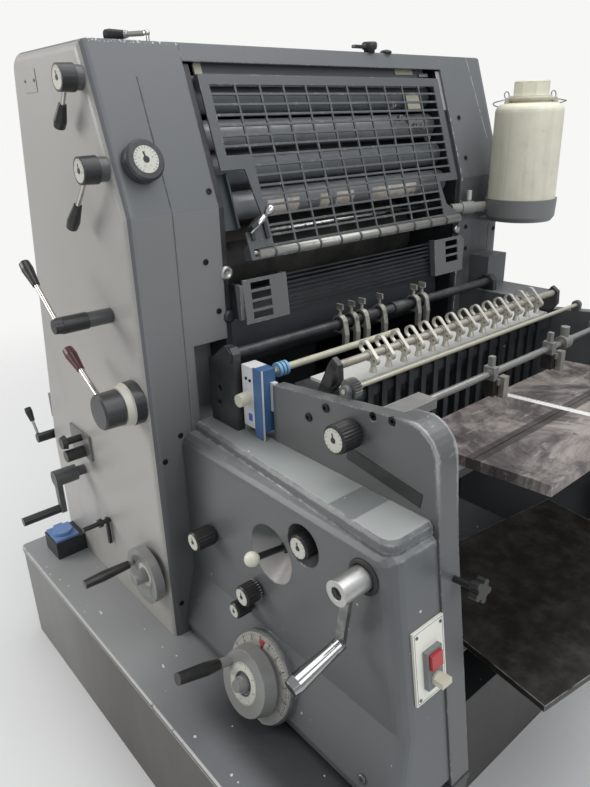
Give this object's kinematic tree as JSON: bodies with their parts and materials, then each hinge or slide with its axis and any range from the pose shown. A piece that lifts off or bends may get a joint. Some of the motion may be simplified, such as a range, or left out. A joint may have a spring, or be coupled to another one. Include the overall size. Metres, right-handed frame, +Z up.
{
  "type": "offset printing press",
  "caption": "Sheet-fed offset printing press with slanted tower, hinged grille guard, feeder housing with hand wheels and levers, suction bar and two pile boards.",
  "frame": {"origin": "on the floor under the base, on the centre line, below the tower's upright feeder-side face", "axes": "+X towards the feeder end, -Y towards the operator, +Z up"},
  "size_m": [1.5046, 1.376, 1.5864],
  "materials": {
    "side_paint": "satin, warm light grey",
    "dark_paint": "satin hammered, dark blue grey",
    "mid_paint": "satin, mid grey",
    "black_paint": "satin black",
    "black_plastic": "moulded, slightly worn",
    "cast": "oily dark casting",
    "steel": "worn bright steel",
    "chrome": "polished",
    "roller_rubber": "matt, inked",
    "board_steel": "stained brown",
    "cream_plastic": "cream",
    "blue_plastic": "blue",
    "white_plastic": "off white",
    "red_plastic": "red",
    "maroon_plastic": "dark red grip",
    "panel_plate": "off white"
  },
  "bodies": {
    "press": {"base_plinth": "mid_paint", "operator_cover": "side_paint", "far_cover": "mid_paint", "top_cover": "mid_paint", "rear_cover": "dark_paint", "inner_frames": "cast", "lower_guard": "mid_paint", "feeder_housing": "dark_paint", "operator_frame": "dark_paint", "far_frame": "dark_paint", "far_housing": "dark_paint", "cross_members": "cast", "pile_stop": "cast", "clamp_shaft": "cast", "sheet_strip": "steel", "suction_brackets": "cast", "lay_rod": "steel", "board_guides": "cast", "scale_ring": "panel_plate", "control_panel": "panel_plate", "clamp_unit": "white_plastic", "unit_roller": "cream_plastic", "socket_box": "black_plastic", "tank_bottle": "cream_plastic", "tank_cup": "mid_paint", "pressure_drum": "panel_plate", "side_fittings": "black_plastic"},
    "guard": {"grille_guard": "dark_paint", "guard_roller": "chrome"},
    "plate_cylinder": {"plate_cylinder": "steel"},
    "blanket_cylinder": {"blanket_cylinder": "roller_rubber"},
    "ink_roller_1": {"ink_roller_1": "roller_rubber"},
    "ink_roller_2": {"ink_roller_2": "steel"},
    "ink_roller_3": {"ink_roller_3": "roller_rubber"},
    "ink_roller_4": {"ink_roller_4": "steel"},
    "hand_wheel": {"hand_wheel": "mid_paint"},
    "feed_wheel": {"feed_wheel": "mid_paint"},
    "winding_crank": {"winding_crank": "chrome"},
    "damping_lever": {"damping_lever": "black_plastic"},
    "water_lever": {"water_lever": "black_plastic"},
    "ink_lever": {"ink_lever": "black_plastic"},
    "pressure_lever": {"pressure_lever": "maroon_plastic"},
    "ball_lever": {"ball_lever": "cream_plastic"},
    "dial_knob": {"dial_knob": "dark_paint"},
    "housing_knob": {"housing_knob": "black_plastic"},
    "recess_knob": {"recess_knob": "black_plastic"},
    "upper_knob": {"upper_knob": "black_plastic"},
    "lower_knob": {"lower_knob": "black_plastic"},
    "frame_knob": {"frame_knob": "black_plastic"},
    "side_crank": {"side_crank": "black_plastic"},
    "top_lever": {"top_lever": "black_plastic"},
    "rear_lever": {"rear_lever": "black_plastic"},
    "suction_bar": {"suction_bar": "steel"},
    "ratchet_rod": {"ratchet_rod": "cream_plastic"},
    "feed_board": {"feed_board": "board_steel"},
    "delivery_board": {"delivery_board": "black_paint"},
    "socket_lid": {"socket_lid": "blue_plastic"},
    "stop_button": {"stop_button": "red_plastic"},
    "rotary_switch": {"rotary_switch": "cream_plastic"},
    "star_knob": {"star_knob": "black_plastic"}
  },
  "joints": [
    {"name": "guard_hinge", "type": "hinge", "parent": "press", "child": "guard", "pos_m": [-0.09683, 0, 1.487], "axis": [0, -1, 0], "range_deg": [0, 80]},
    {"name": "plate_cylinder_turn", "type": "hinge", "parent": "press", "child": "plate_cylinder", "pos_m": [-0.238, 0, 1.095], "axis": [0, 1, 0], "continuous": true},
    {"name": "blanket_cylinder_turn", "type": "hinge", "parent": "press", "child": "blanket_cylinder", "pos_m": [-0.13648, 0, 0.95001], "axis": [0, 1, 0], "continuous": true},
    {"name": "ink_roller_1_turn", "type": "hinge", "parent": "press", "child": "ink_roller_1", "pos_m": [-0.13822, 0, 1.452], "axis": [0, 1, 0], "continuous": true},
    {"name": "ink_roller_2_turn", "type": "hinge", "parent": "press", "child": "ink_roller_2", "pos_m": [-0.11426, 0, 1.382], "axis": [0, 1, 0], "continuous": true},
    {"name": "ink_roller_3_turn", "type": "hinge", "parent": "press", "child": "ink_roller_3", "pos_m": [-0.0903, 0, 1.312], "axis": [0, 1, 0], "continuous": true},
    {"name": "ink_roller_4_turn", "type": "hinge", "parent": "press", "child": "ink_roller_4", "pos_m": [-0.06634, 0, 1.242], "axis": [0, 1, 0], "continuous": true},
    {"name": "hand_wheel_turn", "type": "hinge", "parent": "press", "child": "hand_wheel", "pos_m": [-0.065, -0.61, 0.454], "axis": [0, -1, 0], "continuous": true},
    {"name": "feed_wheel_turn", "type": "hinge", "parent": "press", "child": "feed_wheel", "pos_m": [0.28812, -0.551, 0.372], "axis": [0, -0.9659, 0.259], "continuous": true},
    {"name": "winding_crank_turn", "type": "hinge", "parent": "press", "child": "winding_crank", "pos_m": [0.533, -0.56, 0.745], "axis": [0, -1, 0], "continuous": true},
    {"name": "damping_lever_turn", "type": "hinge", "parent": "press", "child": "damping_lever", "pos_m": [-0.106, -0.61, 1.487], "axis": [0, -1, 0], "range_deg": [-35, 35]},
    {"name": "water_lever_turn", "type": "hinge", "parent": "press", "child": "water_lever", "pos_m": [-0.054, -0.61, 1.336], "axis": [0, -1, 0], "range_deg": [-40, 40]},
    {"name": "ink_lever_turn", "type": "hinge", "parent": "press", "child": "ink_lever", "pos_m": [-0.113, -0.65, 1.054], "axis": [0, -1, 0], "range_deg": [-35, 35]},
    {"name": "pressure_lever_turn", "type": "hinge", "parent": "press", "child": "pressure_lever", "pos_m": [-0.048, -0.65, 0.884], "axis": [0, -1, 0], "range_deg": [-12, 45]},
    {"name": "ball_lever_turn", "type": "hinge", "parent": "press", "child": "ball_lever", "pos_m": [0.294, -0.491, 0.658], "axis": [0, 0, 1], "range_deg": [-20, 20]},
    {"name": "dial_knob_turn", "type": "hinge", "parent": "press", "child": "dial_knob", "pos_m": [-0.0308, -0.536, 1.342], "axis": [0.9461, 0, 0.3238], "range_deg": [-150, 150]},
    {"name": "housing_knob_turn", "type": "hinge", "parent": "press", "child": "housing_knob", "pos_m": [0.095, -0.55, 0.605], "axis": [0, -1, 0], "range_deg": [-150, 150]},
    {"name": "recess_knob_turn", "type": "hinge", "parent": "press", "child": "recess_knob", "pos_m": [0.3869, -0.52, 0.726], "axis": [0, -1, 0], "range_deg": [-150, 150]},
    {"name": "upper_knob_turn", "type": "hinge", "parent": "press", "child": "upper_knob", "pos_m": [0.246, -0.55, 0.551], "axis": [0, -1, 0], "range_deg": [-150, 150]},
    {"name": "lower_knob_turn", "type": "hinge", "parent": "press", "child": "lower_knob", "pos_m": [0.215, -0.55, 0.497], "axis": [0, -1, 0], "range_deg": [-150, 150]},
    {"name": "frame_knob_turn", "type": "hinge", "parent": "press", "child": "frame_knob", "pos_m": [0.402, -0.45, 0.915], "axis": [0, -1, 0], "range_deg": [-150, 150]},
    {"name": "side_crank_turn", "type": "hinge", "parent": "press", "child": "side_crank", "pos_m": [-0.4, -0.62, 0.585], "axis": [0, -1, 0], "continuous": true},
    {"name": "top_lever_turn", "type": "hinge", "parent": "press", "child": "top_lever", "pos_m": [-0.2, -0.4, 1.56], "axis": [0, 0, 1], "range_deg": [-40, 40]},
    {"name": "rear_lever_turn", "type": "hinge", "parent": "press", "child": "rear_lever", "pos_m": [-0.623, -0.6, 0.604], "axis": [0, -1, 0], "range_deg": [-30, 30]},
    {"name": "suction_bar_turn", "type": "hinge", "parent": "press", "child": "suction_bar", "pos_m": [0.309, 0, 0.997], "axis": [0, 1, 0], "range_deg": [-12, 12]},
    {"name": "ratchet_rod_turn", "type": "hinge", "parent": "press", "child": "ratchet_rod", "pos_m": [0.36, 0, 0.971], "axis": [0, 1, 0], "continuous": true},
    {"name": "feed_board_lift", "type": "slide", "parent": "press", "child": "feed_board", "axis": [-0.0698, 0, 0.9976], "range_m": [-0.22, 0.02]},
    {"name": "delivery_board_lift", "type": "slide", "parent": "press", "child": "delivery_board", "axis": [0, 0, 1], "range_m": [-0.11, 0.06]},
    {"name": "socket_lid_hinge", "type": "hinge", "parent": "press", "child": "socket_lid", "pos_m": [-0.552, -0.642, 0.358], "axis": [0, -1, 0], "range_deg": [0, 100]},
    {"name": "stop_button_press", "type": "slide", "parent": "press", "child": "stop_button", "axis": [-0.9917, 0, -0.1289], "range_m": [0, 0.004], "stiffness_N_per_m": 200},
    {"name": "rotary_switch_turn", "type": "hinge", "parent": "press", "child": "rotary_switch", "pos_m": [0.61735, -0.4585, 0.56422], "axis": [0.9917, 0, 0.1289], "range_deg": [0, 90]},
    {"name": "star_knob_turn", "type": "hinge", "parent": "press", "child": "star_knob", "pos_m": [0.59892, -0.386, 0.706], "axis": [0.9917, 0, 0.1289], "range_deg": [-150, 150]}
  ],
  "couplings": [
    {"joint": "blanket_cylinder_turn", "follows": "plate_cylinder_turn", "ratio": -1},
    {"joint": "ink_roller_1_turn", "follows": "plate_cylinder_turn", "ratio": -2.8667},
    {"joint": "ink_roller_2_turn", "follows": "plate_cylinder_turn", "ratio": 2.8667},
    {"joint": "ink_roller_3_turn", "follows": "plate_cylinder_turn", "ratio": -2.8667},
    {"joint": "ink_roller_4_turn", "follows": "plate_cylinder_turn", "ratio": 2.8667}
  ]
}
